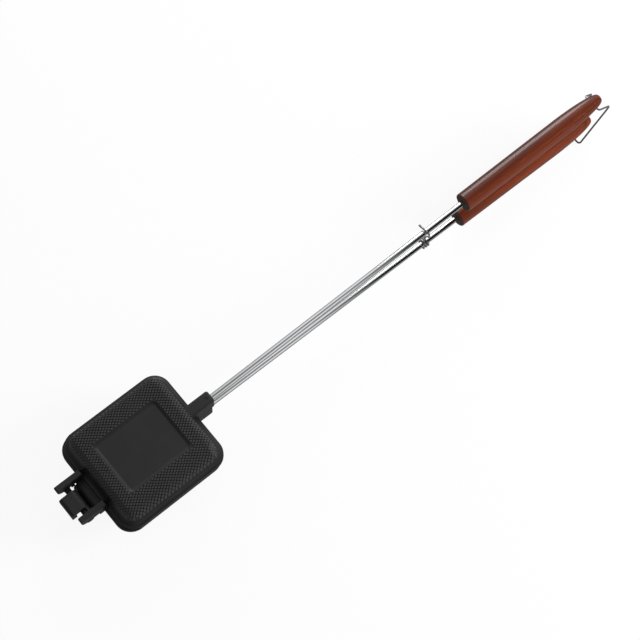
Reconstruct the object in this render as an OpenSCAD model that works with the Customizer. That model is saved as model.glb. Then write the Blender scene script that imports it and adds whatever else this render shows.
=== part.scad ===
// Pie iron: two cast pans hinged edge to edge, each on its own rod and wooden handle.
// Frame: origin in the middle of the upper pan on the parting plane, +X towards the
// handles, +Y to the left, +Z up out of the upper pan. Millimetres.

/* [Pans] */
// Length of one casting's flange along the rods
head_length = 123; // [110:1:150]
// Width of one casting's flange across the rods
head_width = 116; // [100:1:140]
// Corner radius of the flange in plan
corner_r = 17.5; // [16:0.5:24]
// Height of one casting from the parting plane to its flat back
pan_height = 21.5; // [18:0.5:28]
// Thickness of the flange
flange_t = 4.6; // [3:0.2:6]
// Width of the smooth band between the flange edge and the slope
band_w = 3.7; // [2:0.1:5]
// Width of the slope that runs up to the flat back
slope_w = 10.5; // [7:0.5:11]
// Wall thickness of the slope, measured level
wall_t = 4.2; // [3:0.2:5]
// Depth of the cooking cavity in each casting
cavity_depth = 17; // [12:0.5:19]
// Length of the smooth recess in the flat back
recess_length = 74; // [50:1:80]
// Width of the smooth recess in the flat back
recess_width = 61; // [40:1:72]
// Depth of the smooth recess
recess_depth = 1.8; // [1:0.1:2.4]
// How far the lower half sits towards the hinge
hinge_play = 2.5; // [0:0.1:2.8]

/* [Hinge] */
// Distance of the hinge pin from the flange edge
pin_reach = 18.4; // [17:0.1:20]
// Height of the hinge pin over the parting plane
pin_rise = 1; // [0.5:0.1:2]
// Diameter of the hinge pin
pin_d = 6.35; // [5:0.05:7]
// Inside distance between the two ears
ear_gap = 32.4; // [30:0.2:40]
// Thickness of each ear
ear_t = 5.9; // [4:0.1:8]
// Height of the ears over the parting plane
ear_height = 13.5; // [11:0.1:16]
// Width of the hook that lies over the pin
hook_width = 20.5; // [14:0.5:24]
// Thickness of the hook over the pin
hook_t = 4.8; // [3.5:0.1:6]
// Gap between the pin and the hook's outer lip
hook_slot = 4.3; // [3:0.1:6]

/* [Rods and sockets] */
// Diameter of both rods
rod_d = 6.35; // [5:0.05:8]
// Height of a rod over the parting plane at the socket's mouth
rod_rise = 8.5; // [7.5:0.1:10]
// Angle by which each rod leans away from the parting plane
rod_lean = 1.375; // [1:0.025:1.8]
// Width of a socket
socket_width = 13.2; // [11:0.1:16]
// Height of a socket from the parting plane
socket_height = 17.5; // [16:0.1:19]
// How far a socket reaches past the flange edge
socket_reach = 20; // [16:0.5:26]
// Diameter of the cross pin that holds a rod in its socket
cross_pin_d = 3; // [2:0.1:3.5]

/* [Handles] */
// Distance from the middle of the pan to the front of its handle
handle_start = 415; // [380:1:430]
// Length of a handle
handle_length = 195.5; // [180:0.5:200]
// Diameter at the front of a handle
handle_front_d = 21; // [19:0.1:22]
// Diameter where the rounded tip begins
handle_back_d = 21.4; // [19:0.1:22]
// Length of the rounded tip
tip_length = 60; // [40:1:70]
// Diameter of the flat at the end of the tip
tip_flat_d = 8; // [6:0.5:10]
// Length of rod inside a handle
rod_in_handle = 130; // [80:1:130]

/* [Latch wire] */
// Diameter of the latch wire
latch_d = 2.2; // [1.8:0.1:2.4]
// Place of the coil along the lower rod
latch_place = 362.5; // [300:0.5:380]
// Turns of the coil round the lower rod
latch_turns = 2.5; // [1:0.5:3.5]
// Distance from one turn to the next
latch_pitch = 2.9; // [2.9:0.1:3.4]

/* [Bail wire] */
// Diameter of the bail wire
bail_d = 2; // [1.6:0.1:2.2]
// Distance of the bail's hole from the end of the upper handle
bail_inset = 10.3; // [8:0.1:14]
// Reach of the right arm's elbow past the hole
right_elbow_reach = 20; // [16:0.5:22]
// Reach of the left arm's elbow past the hole
left_elbow_reach = 14.5; // [12.5:0.5:22]
// Drop of the elbows below the hole
elbow_drop = 11; // [8:0.5:14]
// Drop of the crossbar below the hole
bail_drop = 54; // [53.5:0.5:58]
// Distance of the crossbar behind the hole
bail_back = 15.3; // [8:0.1:20]
// Width between the middles of the bail's two arms at the crossbar
bail_width = 27; // [25:0.5:32]

/* [Hidden] */
$fn = 64;
cut = 1;
close_fit = 0.02;
running_fit = 0.05;
loose_fit = 0.3;
wire_sides = 8;
cast_iron = [0.16, 0.16, 0.17];
steel = [0.75, 0.76, 0.78];
wood = [0.55, 0.22, 0.1];

// Casting: every outline round the pan turns about the same four corner centres.
half_length = head_length / 2;
half_width = head_width / 2;
corner_at = [half_length - corner_r, half_width - corner_r];
foot_r = corner_r - band_w;
back_r = foot_r - slope_w;
slope_run = slope_w / (pan_height - flange_t);
cavity_mouth_r = to_hundredth(foot_r - wall_t + (flange_t + cut) * slope_run);
cavity_end_r = to_hundredth(foot_r - wall_t + (flange_t - cavity_depth) * slope_run);
recess_r = 5;
recess_slope = 2.6;
recess_mouth_r = to_hundredth(recess_r + cut * recess_slope / recess_depth);
recess_at = [recess_length / 2 - recess_r, recess_width / 2 - recess_r];

// Hinge
pin_x = -half_length - pin_reach;
pin_z = pin_rise;
pin_r = pin_d / 2;
seat_r = pin_r + running_fit;
ear_y = ear_gap / 2;
ear_end_x = pin_x - 9.8;
ear_back_x = -half_length + 0.5;
ear_foot_x = -half_length - 5;
ear_drop = 3;
ear_low_r = 6;
ear_top_r = 1.5;
pin_proud = 1.5;
pin_point_r = pin_r - 0.9;
hook_lip_x = pin_x - pin_r - hook_slot;
hook_end_x = hook_lip_x - 5.6;
hook_top = pin_z + seat_r + hook_t;
hook_back_x = pin_x + 6.5;
hook_low = pin_z - 4.7;
hook_r = 3;
lip_r = 4;
apron_r = 6.7;
apron_x = pin_x + 6.2 + apron_r;
apron_top = -1;
apron_low = -11;
apron_half = ear_y - 0.4;

// Rods, sockets and handles
rod_r = rod_d / 2;
mouth_x = half_length + socket_reach;
socket_half = socket_width / 2;
socket_back_x = half_length - 6.8;
socket_low = 0.3;
socket_r = 3;
rod_start_x = mouth_x - 22;
cross_pin_r = cross_pin_d / 2;
cross_pin_x = mouth_x - 4.5;
cross_pin_sink = 0.4;
front_r = handle_front_d / 2;
handle_r = handle_back_d / 2;
tip_r = tip_flat_d / 2;
tip_rise = handle_r - tip_r;
tip_steps = 20;
edge_r = 0.8;
rod_length = (handle_start + rod_in_handle - rod_start_x) / cos(rod_lean);

// Wires
latch_r = latch_d / 2;
rods_apart = 2 * rod_rise + (2 * latch_place - 2 * mouth_x + hinge_play) * tan(rod_lean);
coil_r = rod_r + latch_r + loose_fit;
coil_steps = 24;
hook_swing_r = rods_apart + rod_r + latch_r + 2 * loose_fit;
hook_y = -rod_r - latch_r - 1.3;
hook_z = rods_apart - 3.5;
bail_r = bail_d / 2;
bail_x = handle_start + handle_length - bail_inset;
bail_leg_in = 3;
bail_leg_out = 10.5;
bail_bends = [2.6, 3.6, 3];

// Height of the upper rod's middle line at x.
function rod_z(x) = rod_rise + (x - mouth_x) * tan(rod_lean);

// Radius of a handle at a distance from its end.
function tip_profile(d) = tip_r + tip_rise * sqrt(1 - pow(1 - d / tip_length, 2));

// Angle on the coil at which a straight wire leaves it for the point that the hook turns round.
leave_angle = atan2(hook_z, hook_y) - acos(coil_r / norm([hook_y, hook_z]));

// A point of the coil, counted in turns back from where the wire leaves it.
function coil_point(turn) = [
    (latch_turns - turn) * latch_pitch,
    coil_r * cos(leave_angle - 360 * turn),
    coil_r * sin(leave_angle - 360 * turn)
];

function unit(v) = v / norm(v);

function to_hundredth(v) = round(100 * v) / 100;

// The arc that rounds the corner b between a and c: steps + 1 points.
function round_corner(a, b, c, r, steps) =
    let(
        back = unit(a - b),
        on = unit(c - b),
        half = acos(back * on) / 2,
        middle = b + unit(back + on) * r / sin(half),
        first = b + back * r / tan(half) - middle,
        side = -back * r,
        sweep = 180 - 2 * half
    )
    [for (i = [0:steps]) middle + first * cos(sweep * i / steps) + side * sin(sweep * i / steps)];

// A path with every inner corner rounded.
function rounded_path(p, r, steps) = [
    p[0],
    for (i = [1:len(p) - 2]) each round_corner(p[i - 1], p[i], p[i + 1], r[i - 1], steps),
    p[len(p) - 1]
];

// Rings of a tube along a path. Each ring's first spoke is the last one turned as little as can be.
function spokes(p, i, last) =
    let(
        along = unit(p[min(i + 1, len(p) - 1)] - p[max(i - 1, 0)]),
        spoke = unit(last - along * (last * along))
    )
    i == len(p) - 1 ? [[along, spoke]] : concat([[along, spoke]], spokes(p, i + 1, spoke));

module tube(path, r, sides) {
    frames = spokes(path, 0, [0.3, 0.9, 0.1]);
    rings = len(path);
    points = [
        for (i = [0:rings - 1]) for (k = [0:sides - 1])
            path[i]
            + frames[i][1] * r * cos(360 * k / sides)
            + cross(frames[i][0], frames[i][1]) * r * sin(360 * k / sides)
    ];
    walls = [
        for (i = [0:rings - 2]) for (k = [0:sides - 1])
            let(a = i * sides + k, b = i * sides + (k + 1) % sides)
            each [[a, b + sides, b], [a, a + sides, b + sides]]
    ];
    start = [for (k = [0:sides - 1]) k];
    end = [for (k = [0:sides - 1]) rings * sides - 1 - k];
    polyhedron(concat(points), concat([start], walls, [end]));
}

// A block whose plan is a rectangle with round corners: radius r0 at z0 and r1 at z1.
module rounded_block(at, r0, r1, z0, z1) {
    rotate([90, 0, 0])
        linear_extrude(2 * at[1], center = true)
            polygon([[-at[0] - r0, z0], [at[0] + r0, z0], [at[0] + r1, z1], [-at[0] - r1, z1]]);
    rotate([90, 0, 90])
        linear_extrude(2 * at[0], center = true)
            polygon([[-at[1] - r0, z0], [at[1] + r0, z0], [at[1] + r1, z1], [-at[1] - r1, z1]]);
    for (x = [-at[0], at[0]])
        for (y = [-at[1], at[1]])
            translate([x, y, z0])
                cylinder(h = z1 - z0, r1 = r0, r2 = r1);
}

// A flat plate standing along X and Z, from y0 to y1.
module upright(y0, y1) {
    translate([0, y1, 0])
        rotate([90, 0, 0])
            linear_extrude(y1 - y0)
                children();
}

// Puts a shape drawn for the upper half on the lower half.
module on_lower_half() {
    translate([-hinge_play, 0, 0])
        mirror([0, 0, 1])
            children();
}

// Puts a shape drawn along +Z on the upper rod's middle line at x.
module on_rod(x) {
    translate([x, 0, rod_z(x)])
        rotate([0, 90 - rod_lean, 0])
            children();
}

module pan_outside() {
    rounded_block(corner_at, corner_r, corner_r, 0, flange_t);
    rounded_block(corner_at, foot_r, back_r, flange_t, pan_height);
}

module pan_hollows() {
    rounded_block(corner_at, cavity_mouth_r, cavity_end_r, -cut, cavity_depth);
    rounded_block(
        recess_at, recess_r - recess_slope, recess_mouth_r,
        pan_height - recess_depth, pan_height + cut
    );
}

module socket_profile() {
    translate([0, socket_low])
        square([socket_half, socket_height - socket_low - socket_r]);
    translate([0, socket_low])
        square([socket_half - socket_r, socket_height - socket_low]);
    translate([socket_half - socket_r, socket_height - socket_r])
        circle(socket_r);
}

module socket() {
    end_x = mouth_x - socket_half;
    translate([socket_back_x, 0, 0])
        rotate([90, 0, 90])
            linear_extrude(end_x - socket_back_x) {
                socket_profile();
                mirror([1, 0])
                    socket_profile();
            }
    translate([end_x, 0, 0])
        rotate_extrude()
            socket_profile();
}

module socket_holes() {
    on_rod(rod_start_x)
        cylinder(h = mouth_x - rod_start_x + 2 * socket_half, r = rod_r + close_fit);
    translate([cross_pin_x, 0, 0])
        cylinder(h = socket_height + cut, r = cross_pin_r + close_fit);
}

// Upper casting with the two ears that carry the pin.
module ear_outline() {
    difference() {
        union() {
            polygon([
                [-half_length + 5, 0], [ear_foot_x, 0], [ear_foot_x - 1, -ear_drop],
                [ear_end_x + ear_low_r, -ear_drop], [ear_end_x, ear_low_r - ear_drop],
                [ear_end_x, ear_height - ear_top_r], [ear_end_x + ear_top_r, ear_height],
                [ear_back_x, ear_height], [-half_length + band_w, flange_t],
                [-half_length + 5, flange_t]
            ]);
            translate([ear_end_x + ear_low_r, ear_low_r - ear_drop])
                circle(ear_low_r);
            translate([ear_end_x + ear_top_r, ear_height - ear_top_r])
                circle(ear_top_r);
        }
        translate([pin_x, pin_z])
            circle(pin_r + close_fit);
    }
}

module upper_iron() {
    color(cast_iron)
        difference() {
            union() {
                pan_outside();
                socket();
                upright(ear_y, ear_y + ear_t)
                    ear_outline();
                upright(-ear_y - ear_t, -ear_y)
                    ear_outline();
            }
            pan_hollows();
            socket_holes();
        }
}

// Lower casting with the apron under the hinge and the hook over the pin.
module hook_outline() {
    difference() {
        union() {
            polygon([
                [hook_lip_x, hook_low], [hook_end_x, hook_low], [hook_end_x, hook_top - lip_r],
                [hook_end_x + lip_r, hook_top], [hook_back_x - hook_r, hook_top],
                [hook_back_x, hook_top - hook_r], [hook_back_x, apron_top - apron_r],
                [apron_x, apron_low], [pin_x + seat_r, apron_low], [pin_x + seat_r, hook_low]
            ]);
            translate([hook_end_x + lip_r, hook_top - lip_r])
                circle(lip_r);
            translate([hook_back_x - hook_r, hook_top - hook_r])
                circle(hook_r);
        }
        translate([pin_x, pin_z])
            circle(seat_r);
        translate([hook_lip_x, hook_low - cut])
            square([pin_x - hook_lip_x, pin_z + seat_r - hook_low + cut]);
        translate([hook_lip_x, hook_low - cut])
            square([pin_x + seat_r - hook_lip_x, pin_z - hook_low + cut]);
    }
}

module apron_outline() {
    intersection() {
        union() {
            translate([apron_x, apron_top - apron_r])
                circle(apron_r);
            translate([apron_x, apron_low])
                square([-corner_at[0] - apron_x - 10, apron_top - apron_low]);
        }
        translate([pin_x, apron_low])
            square([-pin_x, apron_top - apron_low]);
    }
}

module lower_iron() {
    color(cast_iron)
        difference() {
            union() {
                on_lower_half() {
                    pan_outside();
                    socket();
                }
                upright(-apron_half, apron_half)
                    apron_outline();
                upright(-hook_width / 2, hook_width / 2)
                    hook_outline();
            }
            on_lower_half() {
                pan_hollows();
                socket_holes();
            }
        }
}

module hinge_pin() {
    half = ear_y + ear_t + pin_proud;
    color(steel)
        translate([pin_x, 0, pin_z])
            rotate([90, 0, 0])
                rotate_extrude()
                    polygon([
                        [0, -half], [pin_point_r, -half], [pin_r, -half + 0.6],
                        [pin_r, half - 0.6], [pin_point_r, half], [0, half]
                    ]);
}

// Rods, each with the pin that crosses it in its socket.
module rod() {
    difference() {
        on_rod(rod_start_x)
            cylinder(h = rod_length, r = rod_r);
        translate([cross_pin_x, 0, 0])
            cylinder(h = socket_height, r = cross_pin_r + close_fit);
    }
}

module upper_rod() {
    color(steel)
        rod();
}

module lower_rod() {
    color(steel)
        on_lower_half()
            rod();
}

module rod_pin() {
    low = socket_low + cross_pin_sink;
    translate([cross_pin_x, 0, low])
        cylinder(h = socket_height - cross_pin_sink - low, r = cross_pin_r);
}

module upper_rod_pin() {
    color(steel)
        rod_pin();
}

module lower_rod_pin() {
    color(steel)
        on_lower_half()
            rod_pin();
}

// Handles, turned from wood and bored for the rod.
module handle_profile() {
    polygon(concat(
        [[0, 0], [front_r - edge_r, 0], [front_r, edge_r]],
        [for (i = [tip_steps:-1:0])
            let(d = tip_length * i / tip_steps) [tip_profile(d), handle_length - d]],
        [[0, handle_length]]
    ));
}

module handle() {
    difference() {
        on_rod(handle_start)
            rotate_extrude()
                handle_profile();
        on_rod(handle_start - cut)
            cylinder(h = rod_in_handle + 2 * cut, r = rod_r + close_fit);
    }
}

module upper_handle() {
    color(wood)
        difference() {
            handle();
            translate([bail_x, 0, rod_z(bail_x)])
                rotate([90, 0, 0])
                    cylinder(h = handle_back_d, r = bail_r + running_fit, center = true);
        }
}

module lower_handle() {
    color(wood)
        on_lower_half()
            handle();
}

// Latch: coiled round the lower rod, up past the upper rod, over it and out to a turned-up end.
latch_leave = coil_point(0);
latch_coil = [for (i = [latch_turns * coil_steps:-1:1]) coil_point(i / coil_steps)];
latch_arm = rounded_path(
    [
        latch_leave,
        latch_leave + [-6.2, hook_y - latch_leave[1], hook_z - latch_leave[2]],
        [latch_leave[0] - 8, hook_y + 0.2, hook_swing_r + 0.8],
        [latch_leave[0] - 8.6, 3, hook_swing_r],
        [latch_leave[0] - 9, 6.6, hook_swing_r - 0.6],
        [latch_leave[0] - 9.6, 8.4, hook_swing_r + 1]
    ],
    [7, 3.6, 10, 1.6],
    6
);
latch_path = concat(latch_coil, latch_arm);
coil_gap = min([
    for (i = [0:coil_steps])
        for (j = [0.5 * coil_steps:1.5 * coil_steps])
            norm(coil_point(i / coil_steps) - coil_point((i + j) / coil_steps))
]) - latch_d;
echo(latch_coil_gap = coil_gap);

module latch_wire() {
    color(steel)
        translate([latch_place, 0, -rod_z(latch_place + hinge_play)])
            rotate([0, rod_lean, 0])
                tube(latch_path, latch_r, wire_sides);
}

// Bail: its two ends turn into the upper handle, its crossbar passes under the lower one.
module bail_arm(reach) {
    corners = [
        [0, -bail_leg_in, 0],
        [0, -bail_leg_out, 0],
        [reach, -bail_leg_out - 0.7, -elbow_drop],
        [-bail_back, -bail_width / 2, -bail_drop],
        [-bail_back, 0, -bail_drop]
    ];
    tube(rounded_path(corners, bail_bends, 5), bail_r, wire_sides);
}

module bail_wire() {
    color(steel)
        translate([bail_x, 0, rod_z(bail_x)]) {
            bail_arm(right_elbow_reach);
            mirror([0, 1, 0])
                bail_arm(left_elbow_reach);
        }
}

upper_iron();
lower_iron();
hinge_pin();
upper_rod();
lower_rod();
upper_rod_pin();
lower_rod_pin();
upper_handle();
lower_handle();
latch_wire();
bail_wire();
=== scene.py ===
"""Looks of a pie iron: two knurled pans on hinged rods, with wooden handles and wire fittings."""

import math

import bmesh
import bpy
from mathutils import Matrix, Vector


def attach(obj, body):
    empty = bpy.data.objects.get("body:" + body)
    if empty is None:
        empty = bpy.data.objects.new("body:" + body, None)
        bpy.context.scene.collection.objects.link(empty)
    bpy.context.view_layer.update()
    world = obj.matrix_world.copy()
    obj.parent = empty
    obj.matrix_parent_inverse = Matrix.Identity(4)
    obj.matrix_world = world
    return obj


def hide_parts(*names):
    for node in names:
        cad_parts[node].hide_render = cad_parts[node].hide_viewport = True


bl_info = {
    "name": "Pie Iron",
    "version": (1, 0, 0),
    "blender": (4, 5, 0),
    "location": "3D View > Sidebar > Pie Iron",
    "description": "Dresses the packed pie iron with its castings, rods, handles and wires",
    "category": "Object",
}

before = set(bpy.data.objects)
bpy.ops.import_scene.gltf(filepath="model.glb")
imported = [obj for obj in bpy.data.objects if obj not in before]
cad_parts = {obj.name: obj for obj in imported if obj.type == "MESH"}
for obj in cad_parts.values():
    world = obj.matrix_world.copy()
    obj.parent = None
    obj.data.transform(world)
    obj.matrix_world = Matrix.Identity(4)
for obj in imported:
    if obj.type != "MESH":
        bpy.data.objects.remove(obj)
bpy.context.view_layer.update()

# Sizes of the solids, in millimetres: the origin is the middle of the upper pan on the parting plane.
HEAD_LENGTH = 123
HEAD_WIDTH = 116
CORNER_R = 17.5
PAN_HEIGHT = 21.5
FLANGE_T = 4.6
BAND_W = 3.7
SIDE_W = 11.2
SHOULDER_R = 9
RIM_W = 5.04
CAVITY_DRAFT = 10.56
CAVITY_DEPTH = 17
RECESS_LENGTH = 74
RECESS_WIDTH = 61
RECESS_R = 5
RECESS_DEPTH = 1.8
RECESS_DRAFT = 2.6
HINGE_PLAY = 2.5
PIN_X = -79.9
PIN_Z = 1
PIN_R = 3.175
PIN_HALF = 22.4
EAR_Y = 16.2
EAR_T = 5.9
EAR_TOP = 13.5
EAR_TAIL = 9.8
EYE_WALL = 1.1
SKIRT_T = 1.4
SKIRT_X = (-74.8, -70.8)
SKIRT_LOW = -5
HOOK_HALF = 10.25
HOOK_BACK_X = -92.975
HOOK_BACK_R = 6.4
HOOK_TOP = 9.025
APRON_HALF = 15.8
APRON_X = -73.7
APRON_LOW = -11
APRON_R = 6.7
SHELF_X = -69.4
SHELF_TOP = -1.3
RUBBED_CORNER = (55, -46)
ROD_R = 3.175
ROD_RISE = 8.5
ROD_RISE_X = 81.5
ROD_LEAN = 1.375
ROD_START = 59.5
ROD_END = 545
MOUTH_X = 82.8
SOCKET_HALF = 6.6
SOCKET_BACK = 50
SOCKET_LOW = 0.3
SOCKET_TOP = 17.5
SOCKET_R = 2.2
SOCKET_END_R = 2.5
CROSS_PIN_X = 77
CROSS_PIN_R = 1.5
HANDLE_START = 415
HANDLE_LENGTH = 195.5
HANDLE_FRONT_R = 10.5
HANDLE_R = 10.7
TIP_LENGTH = 60
TIP_R = 4
LATCH_X = 362.5
LATCH_R = 1.1
LATCH_TURNS = 2.5
LATCH_PITCH = 2.9
BAIL_X = 600.2
BAIL_R = 1
RIGHT_ELBOW = 20
LEFT_ELBOW = 14.5

# The camera fitted to the photograph, in degrees, millimetres of lens and metres, and the floor's level.
CAMERA_TURN = (222.87, 68.943, 7.769)
CAMERA_LENS = 80.052
CAMERA_TARGET = (0.22090, -0.00222, 0)
CAMERA_DISTANCE = 1.43864
FLOOR_LEVEL = -0.0352

CORNER_X = HEAD_LENGTH / 2 - CORNER_R
CORNER_Y = HEAD_WIDTH / 2 - CORNER_R
FOOT_R = CORNER_R - BAND_W
FLAT_R = FOOT_R - SIDE_W
WALL_ANGLE = math.radians(15)
WALL_REACH = SHOULDER_R * math.cos(WALL_ANGLE)
WALL_TOP = PAN_HEIGHT - SHOULDER_R + SHOULDER_R * math.sin(WALL_ANGLE)
LEAN = math.radians(ROD_LEAN)
ON_LOWER = Matrix.Translation((-HINGE_PLAY, 0, 0)) @ Matrix.Scale(-1, 4, (0, 0, 1))
AS_DRAWN = Matrix.Identity(4)


def mm(length):
    """A length property, held in metres, as millimetres."""
    return length * 1000


# Shader maths


class Wire:
    """Wraps a socket, so that shader maths is written as Python expressions."""

    def __init__(self, tree, socket=None):
        self.tree = tree
        self.socket = socket

    def add(self, kind, settings=None, sockets=None, out=0):
        """Adds a node: its settings first, then the values or links of its sockets."""
        node = self.tree.nodes.new(kind)
        for name, value in (settings or {}).items():
            if name == "stops":
                ramp = node.color_ramp.elements
                while len(ramp) < len(value):
                    ramp.new(1)
                for stop, (place, colour) in zip(ramp, value):
                    stop.position = place
                    stop.color = (*colour, 1)
            else:
                setattr(node, name, value)
        for key, value in (sockets or {}).items():
            if isinstance(value, Wire):
                self.tree.links.new(value.socket, node.inputs[key])
            else:
                node.inputs[key].default_value = value
        return Wire(self.tree, node.outputs[out] if node.outputs else None)

    def maths(self, operation, *values):
        return self.add("ShaderNodeMath", {"operation": operation}, dict(enumerate(values)))

    def __add__(self, other):
        return self.maths("ADD", self, other)

    def __radd__(self, other):
        return self.maths("ADD", other, self)

    def __sub__(self, other):
        return self.maths("SUBTRACT", self, other)

    def __rsub__(self, other):
        return self.maths("SUBTRACT", other, self)

    def __mul__(self, other):
        return self.maths("MULTIPLY", self, other)

    def __rmul__(self, other):
        return self.maths("MULTIPLY", other, self)

    def __truediv__(self, other):
        return self.maths("DIVIDE", self, other)

    def clipped(self, low=0.0, high=1.0):
        """The value, scaled so that low gives 0 and high gives 1, and held between them."""
        settings = {"data_type": "FLOAT", "clamp": True}
        sockets = {"Value": self, "From Min": low, "From Max": high}
        return self.add("ShaderNodeMapRange", settings, sockets)

    def blend(self, low, high):
        """Colour low where the value is 0 and colour high where it is 1."""
        settings = {"data_type": "RGBA"}
        sockets = {"Factor": self, 6: low, 7: high}
        return self.add("ShaderNodeMix", settings, sockets, 2)


def fresh_material(name):
    """A new empty material and a Wire to build it with."""
    material = bpy.data.materials.new(name)
    material.use_nodes = True
    material.node_tree.nodes.clear()
    return material, Wire(material.node_tree)


def close_material(start, sockets):
    """Ends a material with its surface shader."""
    surface = start.add("ShaderNodeBsdfPrincipled", sockets=sockets)
    start.add("ShaderNodeOutputMaterial", sockets={"Surface": surface})


def object_pattern(start, scale=(1, 1, 1), turn=(0, 0, 0), place=(0, 0, 0)):
    """Object coordinates, moved, turned and stretched for a pattern."""
    coordinates = start.add("ShaderNodeTexCoord", out=3)
    turned = start.add(
        "ShaderNodeMapping", {"vector_type": "TEXTURE"},
        {"Vector": coordinates, "Location": place, "Rotation": turn},
    )
    return start.add("ShaderNodeMapping", {"vector_type": "POINT"}, {"Vector": turned, "Scale": scale})


def noise(start, vector, scale, detail=3.0, roughness=0.5, distortion=0.0):
    sockets = {"Vector": vector, "Scale": scale, "Detail": detail, "Roughness": roughness}
    sockets["Distortion"] = distortion
    return start.add("ShaderNodeTexNoise", sockets=sockets)


def black_casting(look):
    """Satin black paint over sand-cast iron, with a painted highlight on the knurl crowns and paler
    random patches.
    """
    material, start = fresh_material("black_casting")
    place = object_pattern(start)
    sand = noise(start, place, 1500, 2, 0.6)
    blotch = noise(start, place, 42, 3, 0.55)
    cloud = noise(start, place, 11, 2, 0.5)
    crown = start.add("ShaderNodeAttribute", {"attribute_name": "crown"}, out=2)
    # Painted highlight: the knurl crowns are painted paler than the grooves between them, and the noises
    # add random paler patches of paint.
    crown_sheen_and_mottle = (crown * 0.9 + blotch * 0.35 + cloud * 0.4 + sand * 0.2 - 0.4).clipped()
    colour = crown_sheen_and_mottle.blend((*look.paint_deep, 1), (*look.paint_sheen_and_mottle, 1))
    relief = start.add(
        "ShaderNodeBump",
        sockets={"Height": sand + blotch * 0.6, "Strength": 0.35, "Distance": 0.00012},
    )
    close_material(start, {
        "Base Color": colour,
        "Roughness": 0.36 + cloud * 0.1 + sand * 0.12,
        "Specular IOR Level": 0.4,
        "Normal": relief,
    })
    return material


def chrome_plate(look):
    """Polished plated rod with faint lengthwise draw marks."""
    material, start = fresh_material("chrome_plate")
    drawn = object_pattern(start, scale=(4, 900, 900), turn=(0, -LEAN, 0))
    marks = noise(start, drawn, 1, 2, 0.5)
    smudge = noise(start, object_pattern(start), 60, 2, 0.5)
    close_material(start, {
        "Base Color": (*look.chrome_colour, 1),
        "Metallic": 1.0,
        "Roughness": 0.05 + marks * 0.06 + smudge * 0.05,
    })
    return material


def bright_wire(look):
    """Drawn and plated wire, greyer than the rods."""
    material, start = fresh_material("bright_wire")
    smudge = noise(start, object_pattern(start), 320, 3, 0.6)
    tone = smudge.clipped(0.3, 0.75)
    close_material(start, {
        "Base Color": tone.blend((*look.wire_dark, 1), (*look.wire_colour, 1)),
        "Metallic": 1.0,
        "Roughness": 0.2 + smudge * 0.16,
    })
    return material


def blackened_steel(look):
    """Dark oxide on the hinge pin and the cross pins."""
    material, start = fresh_material("blackened_steel")
    grime = noise(start, object_pattern(start), 260, 3, 0.6)
    close_material(start, {
        "Base Color": grime.clipped(0.3, 0.8).blend((0.012, 0.012, 0.013, 1), (0.04, 0.04, 0.042, 1)),
        "Metallic": 0.3,
        "Roughness": 0.38 + grime * 0.2,
    })
    return material


def varnished_wood(look, side):
    """Red-brown varnished wood: long grain, fine pores and a clear coat. side is 1 up and -1 down."""
    material, start = fresh_material("varnished_wood_upper" if side > 0 else "varnished_wood_lower")
    turn = (0, -LEAN * side, 0)
    offset = (0.2, 0.013, 0) if side > 0 else (0.55, -0.02, 0.01)
    figure = noise(start, object_pattern(start, (5, 55, 55), turn, offset), 1, 4, 0.55, 0.6)
    streak = noise(start, object_pattern(start, (16, 520, 520), turn, offset), 1, 3, 0.6)
    pores = noise(start, object_pattern(start, (70, 1900, 1900), turn, offset), 1, 2, 0.5)
    tone = (figure * 0.75 + streak * 0.55 - 0.14).clipped(0.2, 0.8)
    base = tone.blend((*look.wood_dark, 1), (*look.wood_light, 1))
    pore_mask = (0.42 - pores).clipped(0, 0.12) * (streak.clipped(0.35, 0.6))
    colour = (pore_mask * 0.6).blend(base, (*look.pore_colour, 1))
    relief = start.add(
        "ShaderNodeBump",
        sockets={"Height": streak - pore_mask * 0.8, "Strength": 0.05, "Distance": 0.0002},
    )
    close_material(start, {
        "Base Color": colour,
        "Roughness": 0.4 + streak * 0.15,
        "Specular IOR Level": 0.15,
        "Coat Weight": 0.7,
        "Coat Roughness": 0.2,
        "Coat IOR": 1.5,
        "Normal": relief,
    })
    return material


def end_grain(look):
    """Dark grey-brown front face of a handle: end grain, whose colour also holds painted shade and a
    painted grey reflection of the varnish.
    """
    material, start = fresh_material("end_grain")
    rings = noise(start, object_pattern(start, (1, 1, 1)), 420, 3, 0.6)
    close_material(start, {
        # Painted shade and painted reflection: these dark grey-brown colours stand in for the face's
        # shade and the grey sheen of its varnish.
        "Base Color": rings.clipped(0.3, 0.75).blend((*look.face_dark, 1), (*look.face_light, 1)),
        "Roughness": 0.5 + rings * 0.15,
        "Specular IOR Level": 0.25,
    })
    return material


# Mesh work, in millimetres


def rectangle(length, width, level):
    """Corners of a level rectangle round the Z axis, anticlockwise."""
    x, y = length / 2, width / 2
    return [(-x, -y, level), (x, -y, level), (x, y, level), (-x, y, level)]


def round_bar(matrix, radius, length, sides, soft, steps):
    """A closed round bar along Z, round its middle, with softened end edges."""
    bm = bmesh.new()
    bmesh.ops.create_cone(
        bm, cap_ends=True, segments=sides, radius1=radius, radius2=radius, depth=length, matrix=matrix
    )
    soften(bm, [e for f in bm.faces if len(f.verts) == sides for e in f.edges], soft, steps)
    return bm


def rounded_plate(bm, corners, radii, segments, thickness):
    """A closed plate: its corners rounded by radii, thickened along the vector."""
    points = [bm.verts.new(c) for c in corners]
    plate = bm.faces.new(points)
    for point, radius in zip(points, radii):
        if radius:
            bmesh.ops.bevel(
                bm, geom=[point], offset=radius, offset_type="OFFSET", segments=segments,
                profile=0.5, affect="VERTICES", material=-1,
            )
    plate = max((f for f in bm.faces if f.is_valid and not f.tag), key=lambda f: f.calc_area())
    far = bmesh.ops.extrude_face_region(bm, geom=[plate])
    far_points = [g for g in far["geom"] if isinstance(g, bmesh.types.BMVert)]
    far_plate = [g for g in far["geom"] if isinstance(g, bmesh.types.BMFace)][0]
    bmesh.ops.translate(bm, vec=Vector(thickness), verts=far_points)
    return plate, far_plate


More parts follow.
